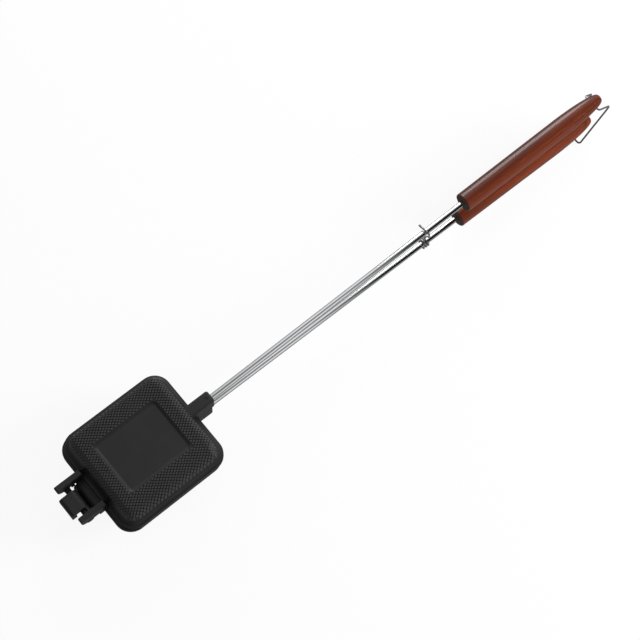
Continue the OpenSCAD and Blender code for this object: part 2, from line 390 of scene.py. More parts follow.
def soften(bm, edges, radius, segments=3):
    """Rounds edges off by a radius."""
    bmesh.ops.bevel(
        bm, geom=[e for e in edges if e.is_valid], offset=radius, offset_type="OFFSET",
        segments=segments, profile=0.5, affect="EDGES", material=-1, clamp_overlap=True,
    )


def step_in(bm, face, inset, rise):
    """Carries a face inwards by inset and along its normal by rise."""
    bm.normal_update()
    bmesh.ops.inset_region(
        bm, faces=[face], thickness=inset, depth=rise, use_even_offset=True, use_boundary=True
    )


def outward(bm, merge=0.0005):
    """Merges doubles and turns every face outwards."""
    bmesh.ops.remove_doubles(bm, verts=bm.verts, dist=merge)
    bmesh.ops.recalc_face_normals(bm, faces=bm.faces)


def as_mesh(bm, name):
    mesh = bpy.data.meshes.new(name)
    bm.to_mesh(mesh)
    bm.free()
    return mesh


def add_piece(mesh, name, body, nodes, materials, smooth_angle=36):
    """Puts a finished mesh, drawn in millimetres, into the scene in place of its CAD nodes."""
    mesh.transform(Matrix.Scale(0.001, 4))
    mesh.shade_smooth()
    mesh.set_sharp_from_angle(angle=math.radians(smooth_angle))
    for material in materials:
        mesh.materials.append(material)
    piece = bpy.data.objects.new(name, mesh)
    bpy.context.scene.collection.objects.link(piece)
    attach(piece, body)
    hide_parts(*nodes)
    return piece


def even_shading(piece):
    """Keeps the broad flats of a softened piece flat."""
    weighted = piece.modifiers.new("even_shading", "WEIGHTED_NORMAL")
    weighted.keep_sharp = True
    weighted.weight = 80


def rod_z(x):
    """Height of the upper rod's middle line at x."""
    return ROD_RISE + (x - ROD_RISE_X) * math.tan(LEAN)


def at_hinge(y):
    """Places a shape drawn along +Z on the hinge's axis at y."""
    return Matrix.Translation((PIN_X, y, PIN_Z)) @ Matrix.Rotation(math.pi / 2, 4, "X")


def on_rod(x):
    """Places a shape drawn along +Z on the upper rod's middle line at x."""
    return Matrix.Translation((x, 0, rod_z(x))) @ Matrix.Rotation(math.pi / 2 - LEAN, 4, "Y")


# Castings


def pan_shell(soft, sink):
    """One pan, mouth down: rim and cavity below, band, rounded side, flat back and recess above."""
    bm = bmesh.new()
    outline = rectangle(HEAD_LENGTH, HEAD_WIDTH, 0)
    mouth, top = rounded_plate(bm, outline, [CORNER_R] * 4, 14, (0, 0, FLANGE_T))
    outward(bm)
    outer_top = list(top.edges)
    outer_low = list(mouth.edges)
    foot_w = BAND_W + 0.25
    step_in(bm, top, foot_w, 0)
    foot = list(top.edges)
    reach, level = CORNER_R - foot_w, FLANGE_T
    for i in range(2, 13):
        angle = math.radians(7.5 * i)
        next_reach = FLAT_R + (SHOULDER_R - sink) * math.cos(angle)
        next_level = PAN_HEIGHT - SHOULDER_R + (SHOULDER_R - sink) * math.sin(angle)
        step_in(bm, top, reach - next_reach, next_level - level)
        reach, level = next_reach, next_level
    shoulder = list(top.edges)
    bmesh.ops.delete(bm, geom=[top], context="FACES_ONLY")
    points = [bm.verts.new(c) for c in rectangle(RECESS_LENGTH, RECESS_WIDTH, PAN_HEIGHT - sink)]
    floor = bm.faces.new(points)
    for point in points:
        bmesh.ops.bevel(
            bm, geom=[point], offset=RECESS_R, offset_type="OFFSET", segments=14,
            profile=0.5, affect="VERTICES", material=-1,
        )
    floor = [f for f in bm.faces if len(f.verts) > 40 and f.calc_center_median().z > PAN_HEIGHT - 1][0]
    lip = list(floor.edges)
    bmesh.ops.bridge_loops(bm, edges=shoulder + lip)
    step_in(bm, floor, RECESS_DRAFT, sink - RECESS_DEPTH if floor.normal.z > 0 else RECESS_DEPTH - sink)
    recess_floor = list(floor.edges)
    outward(bm)
    step_in(bm, mouth, RIM_W, 0)
    cavity_mouth = list(mouth.edges)
    step_in(bm, mouth, CAVITY_DRAFT, -CAVITY_DEPTH)
    cavity_floor = list(mouth.edges)
    soften(bm, outer_top, soft)
    soften(bm, outer_low, 0.35, 2)
    soften(bm, foot, 3.0, 6)
    soften(bm, lip, 0.35, 2)
    soften(bm, recess_floor, 0.6, 2)
    soften(bm, cavity_mouth, 0.5, 2)
    soften(bm, cavity_floor, 1.6, 4)
    outward(bm)
    return bm


def socket_shell():
    """The socket of one rod: flat top with round shoulders and a square mouth end with round corners."""
    bm = bmesh.new()
    corners = [(SOCKET_BACK, -SOCKET_HALF, SOCKET_LOW), (MOUTH_X, -SOCKET_HALF, SOCKET_LOW),
               (MOUTH_X, SOCKET_HALF, SOCKET_LOW), (SOCKET_BACK, SOCKET_HALF, SOCKET_LOW)]
    base, top = rounded_plate(
        bm, corners, [0, SOCKET_END_R, SOCKET_END_R, 0], 8, (0, 0, SOCKET_TOP - SOCKET_LOW)
    )
    outward(bm)
    soften(bm, [e for e in top.edges if max(v.co.x for v in e.verts) > SOCKET_BACK + 0.1], SOCKET_R, 6)
    soften(bm, [e for e in base.edges if max(v.co.x for v in e.verts) > SOCKET_BACK + 0.1], 0.3, 2)
    outward(bm)
    return bm


def upright_shell(outline, radii, y0, y1, soft, end_x=None, end_soft=0):
    """A plate standing along X and Z, from y0 to y1, with softened rims."""
    bm = bmesh.new()
    corners = [(x, y0, z) for x, z in outline]
    near, far = rounded_plate(bm, corners, radii, 8, (0, y1 - y0, 0))
    outward(bm)
    if end_soft:
        posts = [e for f in (near, far) for e in f.edges
                 if all(abs(v.co.x - end_x) < 0.01 for v in e.verts)]
        soften(bm, posts, end_soft, 5)
    rims = [e for e in bm.edges if len({round(v.co.y, 2) for v in e.verts}) == 1
            and (abs(e.verts[0].co.y - y0) < 0.01 or abs(e.verts[0].co.y - y1) < 0.01)]
    soften(bm, rims, soft, 3)
    outward(bm)
    return bm


def ear_shell(side):
    """One of the two ears that carry the hinge pin."""
    end_x = PIN_X - EAR_TAIL
    outline = [(-56.5, 0.3), (end_x, 0.3), (end_x, EAR_TOP), (-61, EAR_TOP),
               (-57.8, FLANGE_T), (-56.5, FLANGE_T - 0.5)]
    inner, outer = side * EAR_Y, side * (EAR_Y + EAR_T)
    return upright_shell(outline, [0, 7, 1.5, 0.8, 0, 0], min(inner, outer), max(inner, outer), 0.6)


def eye_shell(side):
    """The round eye of an ear, which hangs a little below it round the pin."""
    return round_bar(at_hinge(side * (EAR_Y + EAR_T / 2)), PIN_R + EYE_WALL, EAR_T - 0.1, 48, 0.4, 3)


def skirt_shell(side):
    """The inner lip of an ear, which hangs beside the apron."""
    inner, outer = side * EAR_Y, side * (EAR_Y + SKIRT_T)
    back, front = SKIRT_X
    outline = [(front, 1), (front, SKIRT_LOW), (back, SKIRT_LOW), (back, 1)]
    return upright_shell(outline, [0, 0.6, 1.2, 0], min(inner, outer), max(inner, outer), 0.3)


def hook_shell():
    """The hook that lies over the hinge pin."""
    outline = [(-87.375, -3.7), (HOOK_BACK_X, -3.7), (HOOK_BACK_X, HOOK_TOP), (-73.4, HOOK_TOP),
               (-73.4, -7.7), (-67, APRON_LOW), (-76.675, APRON_LOW), (-76.675, 4.225), (-87.375, 4.225)]
    radii = [0.6, 0.6, 4, HOOK_BACK_R, 0, 0, 0, 3.2, 0.8]
    hook = upright_shell(outline, radii, -HOOK_HALF, HOOK_HALF, 0.8, HOOK_BACK_X, 2)
    outward(hook, 0.01)
    return hook


def apron_shell():
    """The rolled apron that closes the gap under the hinge."""
    outline = [(-54.5, APRON_LOW), (APRON_X, APRON_LOW), (APRON_X, -1), (-54.5, -1)]
    return upright_shell(outline, [0, 0, APRON_R, 0], -APRON_HALF, APRON_HALF, 0.4)


def shelf_shell():
    """The ledge of the lower flange that runs under both ears."""
    outline = [(-60.5, -4.4), (SHELF_X, -4.4), (SHELF_X, SHELF_TOP), (-60.5, SHELF_TOP)]
    return upright_shell(outline, [0, 0.6, 1, 0], -EAR_Y - EAR_T, EAR_Y + EAR_T, 0.5)


def root_fillet(x, y, radius, side, z0, z1):
    """Fills the inner corner where a wall meets the flange's edge."""
    bm = bmesh.new()
    away = 1 if x > 0 else -1
    corners = [(x - away * 0.4, y - side * 0.4, z0), (x + away * radius, y - side * 0.4, z0),
               (x + away * radius, y, z0), (x, y, z0), (x, y + side * radius, z0),
               (x - away * 0.4, y + side * radius, z0)]
    points = [bm.verts.new(c) for c in corners]
    bm.faces.new(points)
    bmesh.ops.bevel(
        bm, geom=[points[3]], offset=radius * 0.98, offset_type="OFFSET", segments=5,
        profile=0.5, affect="VERTICES", material=-1,
    )
    plate = max(bm.faces, key=lambda f: f.calc_area())
    far = bmesh.ops.extrude_face_region(bm, geom=[plate])
    bmesh.ops.translate(
        bm, vec=(0, 0, z1 - z0), verts=[g for g in far["geom"] if isinstance(g, bmesh.types.BMVert)]
    )
    outward(bm)
    return bm


def root_fillets(x, y, radius):
    """The two fillets at either side of what stands out from the flange."""
    return [root_fillet(x, side * y, radius, side, 0.4, FLANGE_T - 0.5) for side in (1, -1)]


def knurl_sink(look):
    """How far the pan lies below its measured back, to leave room for the knurl."""
    return mm(look.knurl_height) * 0.9


def pan_shells(look):
    """What both castings share: the pan, its socket and the fillets beside it."""
    pan = pan_shell(mm(look.soft_edge), knurl_sink(look))
    return [pan, socket_shell()] + root_fillets(HEAD_LENGTH / 2, SOCKET_HALF, 1.6)


def drill(matrix, radius, length):
    """A cutter for a round hole."""
    bm = bmesh.new()
    bmesh.ops.create_cone(
        bm, cap_ends=True, segments=48, radius1=radius, radius2=radius, depth=length,
        matrix=matrix @ Matrix.Translation((0, 0, length / 2)),
    )
    return bm


def gather(shells, name):
    """Several closed shells as one mesh."""
    bm = bmesh.new()
    for shell in shells:
        part = as_mesh(shell, name)
        bm.from_mesh(part)
        bpy.data.meshes.remove(part)
    return as_mesh(bm, name)


def fuse(shells, cutters, name):
    """Joins overlapping shells into one body and bores it."""
    body = bpy.data.objects.new(name, gather(shells, name))
    tool = bpy.data.objects.new(name + "_cutter", gather(cutters, name + "_cutter"))
    bpy.context.scene.collection.objects.link(body)
    bpy.context.scene.collection.objects.link(tool)
    bore = body.modifiers.new("bore", "BOOLEAN")
    bore.operation = "DIFFERENCE"
    bore.solver = "EXACT"
    bore.use_self = True
    bore.object = tool
    evaluated = body.evaluated_get(bpy.context.evaluated_depsgraph_get())
    mesh = bpy.data.meshes.new_from_object(evaluated)
    for spent in (body, tool):
        leftover = spent.data
        bpy.data.objects.remove(spent)
        bpy.data.meshes.remove(leftover)
    return mesh


def beyond_corners(x, y):
    """How far a point in plan lies outside the rectangle of the corner centres, and which way out is."""
    over = Vector((abs(x) - CORNER_X, abs(y) - CORNER_Y))
    if over.x > 0 and over.y > 0:
        out = over.normalized()
    else:
        out = Vector((1, 0)) if over.x > over.y else Vector((0, 1))
    return over.dot(out), Vector((math.copysign(out.x, x), math.copysign(out.y, y)))


def draped(x, y, lift):
    """The point over a place in plan that stands lift proud of the flat back or of the rounded side."""
    beyond, out = beyond_corners(x, y)
    reach = beyond - FLAT_R
    if reach <= 0:
        return Vector((x, y, PAN_HEIGHT + lift))
    if reach < WALL_REACH:
        angle = math.acos(reach / SHOULDER_R)
        level = PAN_HEIGHT - SHOULDER_R + SHOULDER_R * math.sin(angle)
    else:
        angle = WALL_ANGLE
        level = WALL_TOP - (reach - WALL_REACH) / (SIDE_W - WALL_REACH) * (WALL_TOP - FLANGE_T)
    return Vector((x, y, level)) + lift * Vector((*(out * math.cos(angle)), math.sin(angle)))


def in_recess(x, y):
    return abs(x) < RECESS_LENGTH / 2 + 0.15 and abs(y) < RECESS_WIDTH / 2 + 0.15


def trim_at_recess(bm, cell):
    """Cuts the sheet's cells along the lip of the recess and takes out those inside it."""
    half = (RECESS_LENGTH / 2 + 0.15, RECESS_WIDTH / 2 + 0.15)
    for axis in (0, 1):
        for side in (1, -1):
            middle = [(f, f.calc_center_median()) for f in bm.faces]
            near = [
                f for f, c in middle
                if abs(c[axis] - side * half[axis]) < cell and abs(c[1 - axis]) < half[1 - axis] + 0.5
            ]
            place = Vector((0, 0, 0))
            place[axis] = side * half[axis]
            near += list({e for f in near for e in f.edges} | {v for f in near for v in f.verts})
            bmesh.ops.bisect_plane(
                bm, geom=near, plane_co=place, plane_no=place.normalized(), dist=0.001
            )
    inside = [f for f in bm.faces if in_recess(*f.calc_center_median().xy)]
    bmesh.ops.delete(bm, geom=inside, context="FACES")


def knurl_shell(look, sink):
    """The diamond knurl: a sheet of small blunt pyramids laid over the back and the rounded sides."""
    bm = bmesh.new()
    long, short = mm(look.knurl_long), mm(look.knurl_short)
    cells = 2 * math.ceil((CORNER_X + FOOT_R) / long + (CORNER_Y + FOOT_R) / short)
    bmesh.ops.create_grid(bm, x_segments=cells, y_segments=cells, size=cells / 2 * math.sqrt(0.5))
    bmesh.ops.rotate(bm, cent=(0, 0, 0), matrix=Matrix.Rotation(math.pi / 4, 3, "Z"), verts=bm.verts)
    bmesh.ops.scale(bm, vec=(long, short, 1), verts=bm.verts)
    bare = [f for f in bm.faces if any(beyond_corners(*v.co.xy)[0] > FOOT_R - 0.3 for v in f.verts)
            or all(v.co.x > 57 and abs(v.co.y) < SOCKET_HALF for v in f.verts)]
    bmesh.ops.delete(bm, geom=bare, context="FACES")
    trim_at_recess(bm, long)
    slivers = [f for f in bm.faces if f.calc_area() < 0.18 * long * short]
    bmesh.ops.delete(bm, geom=slivers, context="FACES")
    raised = bmesh.ops.extrude_face_region(bm, geom=bm.faces[:])["geom"]
    ground = {g for g in raised if isinstance(g, bmesh.types.BMVert)}
    diamonds = [g for g in raised if isinstance(g, bmesh.types.BMFace)]
    bmesh.ops.translate(bm, vec=(0, 0, 1), verts=list(ground))
    bmesh.ops.recalc_face_normals(bm, faces=bm.faces)
    bmesh.ops.inset_individual(
        bm, faces=diamonds, thickness=mm(look.knurl_flank), depth=0, use_even_offset=True
    )
    bottom = {v for v in bm.verts if v.co.z < 0.5}
    # Marks the diamonds' crowns, both for their lift and for the highlight painted on them in the
    # casting's colour.
    crown_mark = bm.verts.layers.float.new("crown")
    for v in {v for f in diamonds for v in f.verts}:
        v[crown_mark] = 1
    sides = [e for e in bm.edges if all(beyond_corners(*v.co.xy)[0] > FLAT_R - 1 for v in e.verts)
             and not any(v in bottom for v in e.verts)]
    bmesh.ops.subdivide_edges(bm, edges=sides, cuts=1, use_grid_fill=True)
    for v in bm.verts:
        beyond, out = beyond_corners(*v.co.xy)
        last = FOOT_R - 0.6 if out.x > -0.7 else FLAT_R + 3.5
        rubbed = math.hypot(v.co.x - RUBBED_CORNER[0], v.co.y - RUBBED_CORNER[1]) / 3.5 - 1.6
        fade = min(1, max(0, (last - beyond) / 2), max(0, rubbed))
        lift = -0.8 if v in bottom else 0.04 + v[crown_mark] * fade * mm(look.knurl_height)
        v.co = draped(v.co.x, v.co.y, lift - sink)
    bmesh.ops.dissolve_degenerate(bm, dist=0.0005, edges=bm.edges)
    return bm


def casting(look, shells, cutters, matrix, name, body, node):
    """Fuses a casting's shells, lays the knurl on it and puts it in place."""
    mesh = fuse(shells, cutters, name)
    knurl = knurl_shell(look, knurl_sink(look))
    bm = bmesh.new()
    bm.from_mesh(mesh)
    bpy.data.meshes.remove(mesh)
    bmesh.ops.remove_doubles(bm, verts=bm.verts, dist=0.0005)
    bm.verts.layers.float.new("crown")
    part = as_mesh(knurl, name + "_knurl")
    part.transform(matrix)
    if matrix.determinant() < 0:
        part.flip_normals()
    bm.from_mesh(part)
    bpy.data.meshes.remove(part)
    piece = add_piece(
        as_mesh(bm, name), name, body, [node], [black_casting(look)], 34
    )
    even_shading(piece)
    return piece


def moved(bm, matrix):
    """A shell carried by a matrix, with its faces still outwards."""
    bmesh.ops.transform(bm, matrix=matrix, verts=bm.verts)
    bmesh.ops.recalc_face_normals(bm, faces=bm.faces)
    return bm


def socket_bores(matrix):
    return [
        moved(drill(on_rod(ROD_START), ROD_R + 0.02, 40), matrix),
        moved(drill(Matrix.Translation((CROSS_PIN_X, 0, -1)), CROSS_PIN_R + 0.02, 25), matrix),
    ]


# Wires


def round_corner(before, corner, after, radius, steps):
    """Points of the arc that rounds a corner of a wire."""
    back, on = (before - corner).normalized(), (after - corner).normalized()
    half = back.angle(on) / 2
    middle = corner + (back + on).normalized() * radius / math.sin(half)
    first = corner + back * radius / math.tan(half) - middle
    side = -back * radius
    sweep = math.pi - 2 * half
    return [
        middle + first * math.cos(sweep * i / steps) + side * math.sin(sweep * i / steps)
        for i in range(steps + 1)
    ]


def bent_path(corners, radii, steps=10):
    """A wire's middle line with every inner corner rounded."""
    points = [Vector(c) for c in corners]
    path = [points[0]]
    for i in range(1, len(points) - 1):
        path += round_corner(points[i - 1], points[i], points[i + 1], radii[i - 1], steps)
    return path + [points[-1]]


def draw_wire(path, radius, sides):
    """Draws a round wire along a path: its end face is extruded and turned from point to point."""
    bm = bmesh.new()
    last = len(path) - 1
    ways = [(path[min(i + 1, last)] - path[max(i - 1, 0)]).normalized() for i in range(len(path))]
    start = Matrix.Translation(path[0]) @ ways[0].to_track_quat("Z", "Y").to_matrix().to_4x4()
    bmesh.ops.create_circle(bm, cap_ends=True, segments=sides, radius=radius, matrix=start)
    end = bm.faces[:]
    for i in range(1, len(path)):
        step = bmesh.ops.extrude_face_region(bm, geom=end + list(end[0].edges))["geom"]
        ring = [g for g in step if isinstance(g, bmesh.types.BMVert)]
        end = [g for g in step if isinstance(g, bmesh.types.BMFace)]
        bmesh.ops.translate(bm, vec=path[i] - path[i - 1], verts=ring)
        turn = ways[i - 1].rotation_difference(ways[i]).to_matrix()
        bmesh.ops.rotate(bm, cent=path[i], matrix=turn, verts=ring)
    bmesh.ops.recalc_face_normals(bm, faces=bm.faces)
    caps = [f for f in bm.faces if len(f.verts) == sides]
    soften(bm, [e for f in caps for e in f.edges], radius * 0.3, 2)
    return bm


def latch_path():
    """Turns round the lower rod, up past the upper rod, over it and out to a turned-up end."""
    apart = 2 * ROD_RISE + (2 * LATCH_X - 2 * ROD_RISE_X + HINGE_PLAY) * math.tan(LEAN)
    coil_r = ROD_R + LATCH_R + 0.3
    hook_y, hook_z = -ROD_R - LATCH_R - 1.3, apart - 3.5
    swing = apart + ROD_R + LATCH_R + 0.6
    leave = math.atan2(hook_z, hook_y) - math.acos(coil_r / math.hypot(hook_y, hook_z))

    def coil_point(turn):
        angle = leave - math.tau * turn
        return Vector((
            (LATCH_TURNS - turn) * LATCH_PITCH, coil_r * math.cos(angle), coil_r * math.sin(angle)
        ))

    off = coil_point(0)
    turns = [coil_point(i / 36) for i in range(round(LATCH_TURNS * 36), 0, -1)]
    arm = bent_path(
        [
            off, (off.x - 6.2, hook_y, hook_z), (off.x - 8, hook_y + 0.2, swing + 0.8),
            (off.x - 8.6, 3, swing), (off.x - 9, 6.6, swing - 0.6), (off.x - 9.6, 8.4, swing + 1),
        ],
        [7, 3.6, 10, 1.6],
    )
    return turns + arm


def bail_path(reach, side):
    """One arm of the hanging bail, from its hole to the middle of the crossbar."""
    return bent_path(
        [
            (0, -3 * side, 0), (0, -10.5 * side, 0), (reach, -11.2 * side, -11),
            (-15.3, -13.5 * side, -54), (-15.3, 0, -54),
        ],
        [2.6, 3.6, 3],
    )


# Settings


class PieIronCastingLook(bpy.types.PropertyGroup):
    """Finish of the two castings."""

    knurl_long: bpy.props.FloatProperty(
        name="Diamond length", description="Length of one diamond of the knurl along the rods",
        default=0.00429, min=0.002, unit="LENGTH",
    )
    knurl_short: bpy.props.FloatProperty(
        name="Diamond width", description="Width of one diamond of the knurl across the rods",
        default=0.00337, min=0.002, unit="LENGTH",
    )
    knurl_flank: bpy.props.FloatProperty(
        name="Knurl flank", description="Width of the slope round the blunt top of a diamond",
        default=0.0006, min=0.0001, unit="LENGTH",
    )
    knurl_height: bpy.props.FloatProperty(
        name="Knurl height", description="Height of the knurl's crowns over its grooves",
        default=0.00075, min=0.0001, unit="LENGTH",
    )
    soft_edge: bpy.props.FloatProperty(
        name="Soft edge", description="Radius of the flange's upper edge",
        default=0.0008, min=0.0001, unit="LENGTH",
    )
    # Painted highlight: the knurl crowns take the paler colour below and the grooves this darker one;
    # the paler colour also makes random pale patches of paint.
    paint_deep: bpy.props.FloatVectorProperty(
        name="Paint", description="Colour of the paint in the hollows",
        default=(0.0135, 0.0135, 0.0142), subtype="COLOR",
    )
    paint_sheen_and_mottle: bpy.props.FloatVectorProperty(
        name="Crown sheen paint", description="Colour of the paint on crowns and edges",
        default=(0.044, 0.044, 0.0455), subtype="COLOR",
    )


class PieIronMetalLook(bpy.types.PropertyGroup):
    """Finish of the rods and the wires."""

    chrome_colour: bpy.props.FloatVectorProperty(
        name="Rods", description="Colour of the plated rods", default=(0.86, 0.87, 0.88), subtype="COLOR"
    )
    wire_colour: bpy.props.FloatVectorProperty(
        name="Wires", description="Colour of the latch and the bail",
        default=(0.62, 0.62, 0.63), subtype="COLOR",
    )
    wire_dark: bpy.props.FloatVectorProperty(
        name="Dull wire", description="Colour of the wires' dull spots",
        default=(0.38, 0.38, 0.39), subtype="COLOR",
    )
    wire_sides: bpy.props.IntProperty(
        name="Wire sides", description="Flat sides round a wire", default=16, min=8, max=32
    )


class PieIronWoodLook(bpy.types.PropertyGroup):
    """Finish of the two handles."""

    wood_light: bpy.props.FloatVectorProperty(
        name="Light grain", description="Colour of the light grain",
        default=(0.175, 0.031, 0.0085), subtype="COLOR",
    )
    wood_dark: bpy.props.FloatVectorProperty(
        name="Dark grain", description="Colour of the dark grain",
        default=(0.036, 0.006, 0.0028), subtype="COLOR",
    )
    pore_colour: bpy.props.FloatVectorProperty(
        name="Pores", description="Colour of the pores",
        default=(0.05, 0.01, 0.005), subtype="COLOR",
    )
    # The front face's dark grey-brown colours hold painted shade and a painted grey reflection of the
    # varnish.
    face_dark: bpy.props.FloatVectorProperty(
        name="Dark end grain", description="Darkest colour of the front face",
        default=(0.02, 0.0115, 0.009), subtype="COLOR",
    )
    face_light: bpy.props.FloatVectorProperty(
        name="Light end grain", description="Palest colour of the front face",
        default=(0.09, 0.05, 0.037), subtype="COLOR",
    )


class PieIronStageLook(bpy.types.PropertyGroup):
    """Light and floor round the pie iron."""

    key_power: bpy.props.FloatProperty(
        name="Key lamp", description="Power of the key lamp beyond the handles",
        default=46.0, min=0.0, unit="POWER",
    )
    side_power: bpy.props.FloatProperty(
        name="Soft box", description="Power of the soft box on the left",
        default=6.5, min=0.0, unit="POWER",
    )
    fill: bpy.props.FloatProperty(
        name="Fill", description="Strength of the even fill",
        default=0.4, min=0.0, max=1.0, subtype="FACTOR",
    )
    over_hinge: bpy.props.FloatVectorProperty(
        name="Over the hinge",
        description="Brightness that gloss picks up over the hinge end, from left to right",
        size=6, default=(0.5, 0.95, 0.45, 0.06, 0.4, 1.0), min=0.0, max=1.0,
    )
    over_handles: bpy.props.FloatVectorProperty(
        name="Over the handles",
        description="Brightness that gloss picks up over the handle end, from left to right",
        size=6, default=(0.66, 0.9, 0.42, 0.06, 0.0, 0.0), min=0.0, max=1.0,
    )
    dim_behind: bpy.props.FloatProperty(
        name="Dim behind", description="How much less light gloss picks up from beyond the hinge",
        default=0.85, min=0.0, max=1.0, subtype="FACTOR",
    )
    floor_colour: bpy.props.FloatVectorProperty(
        name="Floor", description="Colour of the floor", default=(0.9, 0.9, 0.9), subtype="COLOR"
    )


# Operators


class PIEIRON_OT_upper_casting(bpy.types.Operator):
    """Build the upper pan with its socket and its two hinge ears"""

    bl_idname = "pie_iron.upper_casting"
    bl_label = "Upper casting"

    def execute(self, context):
        look = context.scene.pie_iron_casting
        pan, socket, *roots = pan_shells(look)
        shells = [pan, socket]
        shells += [shell(side) for shell in (ear_shell, eye_shell, skirt_shell) for side in (1, -1)]
        shells += roots + root_fillets(-HEAD_LENGTH / 2, EAR_Y + EAR_T, 1.2)
        cutters = socket_bores(AS_DRAWN) + [drill(at_hinge(30), PIN_R + 0.02, 60)]
        casting(look, shells, cutters, AS_DRAWN, "upper_casting", "upper_half", "upper_iron")
        return {"FINISHED"}


class PIEIRON_OT_lower_casting(bpy.types.Operator):
    """Build the lower pan with its socket, its apron and the hook over the pin"""

    bl_idname = "pie_iron.lower_casting"
    bl_label = "Lower casting"

    def execute(self, context):
        look = context.scene.pie_iron_casting
        shells = [moved(shell, ON_LOWER) for shell in pan_shells(look)]
        shells += [hook_shell(), apron_shell(), shelf_shell()]
        cutters = socket_bores(ON_LOWER)
        casting(look, shells, cutters, ON_LOWER, "lower_casting", "lower_half", "lower_iron")
        return {"FINISHED"}


class PIEIRON_OT_hinge_pin(bpy.types.Operator):
    """Build the hinge pin"""

    bl_idname = "pie_iron.hinge_pin"
    bl_label = "Hinge pin"

    def execute(self, context):
        look = context.scene.pie_iron_metal
        bm = round_bar(at_hinge(0), PIN_R, 2 * PIN_HALF, 48, 0.7, 4)
        add_piece(
            as_mesh(bm, "hinge_bar"), "hinge_bar", "upper_half", ["hinge_pin"],
            [blackened_steel(look)],
        )
        return {"FINISHED"}


class PIEIRON_OT_rods(bpy.types.Operator):
    """Build the two plated rods"""

    bl_idname = "pie_iron.rods"
    bl_label = "Rods"

    def execute(self, context):
        look = context.scene.pie_iron_metal
        plate = chrome_plate(look)
        length = (ROD_END - ROD_START) / math.cos(LEAN)
        for name, body, node, matrix in (
            ("upper_stem", "upper_half", "upper_rod", AS_DRAWN),
            ("lower_stem", "lower_half", "lower_rod", ON_LOWER),
        ):
            middle = on_rod(ROD_START) @ Matrix.Translation((0, 0, length / 2))
            bm = moved(round_bar(middle, ROD_R, length, 48, 0.5, 3), matrix)
            add_piece(as_mesh(bm, name), name, body, [node], [plate])
        return {"FINISHED"}


class PIEIRON_OT_cross_pins(bpy.types.Operator):
    """Build the pins that hold the rods in their sockets"""

    bl_idname = "pie_iron.cross_pins"
    bl_label = "Cross pins"

    def execute(self, context):
        oxide = blackened_steel(context.scene.pie_iron_metal)
        low, high = SOCKET_LOW + 0.4, SOCKET_TOP - 0.4
        for name, body, node, matrix in (
            ("upper_cross_pin", "upper_half", "upper_rod_pin", AS_DRAWN),
            ("lower_cross_pin", "lower_half", "lower_rod_pin", ON_LOWER),
        ):
            middle = Matrix.Translation((CROSS_PIN_X, 0, (low + high) / 2))
            bm = moved(round_bar(middle, CROSS_PIN_R, high - low, 32, 0.3, 2), matrix)
            add_piece(as_mesh(bm, name), name, body, [node], [oxide])
        return {"FINISHED"}


class PIEIRON_OT_handles(bpy.types.Operator):
    """Build the two turned wooden handles"""

    bl_idname = "pie_iron.handles"
    bl_label = "Handles"

    def execute(self, context):
        look = context.scene.pie_iron_wood
        face = end_grain(look)
        for name, body, node, matrix, side in (
            ("upper_grip", "upper_half", "upper_handle", AS_DRAWN, 1),
            ("lower_grip", "lower_half", "lower_handle", ON_LOWER, -1),
        ):
            mesh = self.turned(matrix)
            finish = [varnished_wood(look, side), face]
            even_shading(add_piece(mesh, name, body, [node], finish, 50))
        return {"FINISHED"}

    def turned(self, matrix):
        """A handle turned along +Z: long barrel, then a tip drawn out to a quarter ellipse."""
        bm = bmesh.new()
        barrel = HANDLE_LENGTH - TIP_LENGTH
        rise = HANDLE_R - TIP_R
        bmesh.ops.create_circle(bm, cap_ends=True, segments=64, radius=HANDLE_FRONT_R)
        end = next(iter(bm.faces))
        for climb, radius in ((barrel, HANDLE_R), (rise, HANDLE_R)):
            step = bmesh.ops.extrude_face_region(bm, geom=[end] + list(end.edges))["geom"]
            ring = [g for g in step if isinstance(g, bmesh.types.BMVert)]
            end = [g for g in step if isinstance(g, bmesh.types.BMFace)][0]
            bmesh.ops.translate(bm, vec=(0, 0, climb), verts=ring)
            spread = radius / math.hypot(*ring[0].co.xy)
            bmesh.ops.scale(bm, vec=(spread, spread, 1), verts=ring)
        outward(bm)
        soften(bm, end.edges, rise * 0.999, 20)
        tip = [v for v in bm.verts if v.co.z > barrel + 0.001]
        stretch = Matrix.Translation((0, 0, -barrel))
        bmesh.ops.scale(bm, vec=(1, 1, TIP_LENGTH / rise), verts=tip, space=stretch)
        front = min(bm.faces, key=lambda f: f.calc_center_median().z)
        soften(bm, front.edges, 0.8, 4)
        outward(bm)
        front = min(bm.faces, key=lambda f: f.calc_center_median().z)
        front.material_index = 1
        moved(bm, matrix @ on_rod(HANDLE_START))
        return as_mesh(bm, "turned_handle")


class PIEIRON_OT_latch(bpy.types.Operator):
    """Build the wire latch, coiled round the lower rod and hooked over the upper one"""

    bl_idname = "pie_iron.latch"
    bl_label = "Latch"

    def execute(self, context):
        look = context.scene.pie_iron_metal
        bm = draw_wire(latch_path(), LATCH_R, look.wire_sides)
        place = Matrix.Translation((LATCH_X, 0, -rod_z(LATCH_X + HINGE_PLAY)))
        moved(bm, place @ Matrix.Rotation(LEAN, 4, "Y"))
        add_piece(
            as_mesh(bm, "latch_hook"), "latch_hook", "latch", ["latch_wire"],
            [bright_wire(look)], 50,
        )
        return {"FINISHED"}


class PIEIRON_OT_bail(bpy.types.Operator):
    """Build the wire bail that hangs on the upper handle"""

    bl_idname = "pie_iron.bail"
    bl_label = "Bail"

    def execute(self, context):
        look = context.scene.pie_iron_metal
        right = bail_path(RIGHT_ELBOW, 1)
        left = bail_path(LEFT_ELBOW, -1)
        bm = draw_wire(right + left[-2::-1], BAIL_R, look.wire_sides)
        moved(bm, Matrix.Translation((BAIL_X, 0, rod_z(BAIL_X))))
        add_piece(
            as_mesh(bm, "hanging_bail"), "hanging_bail", "bail", ["bail_wire"],
            [bright_wire(look)], 50,
        )
        return {"FINISHED"}


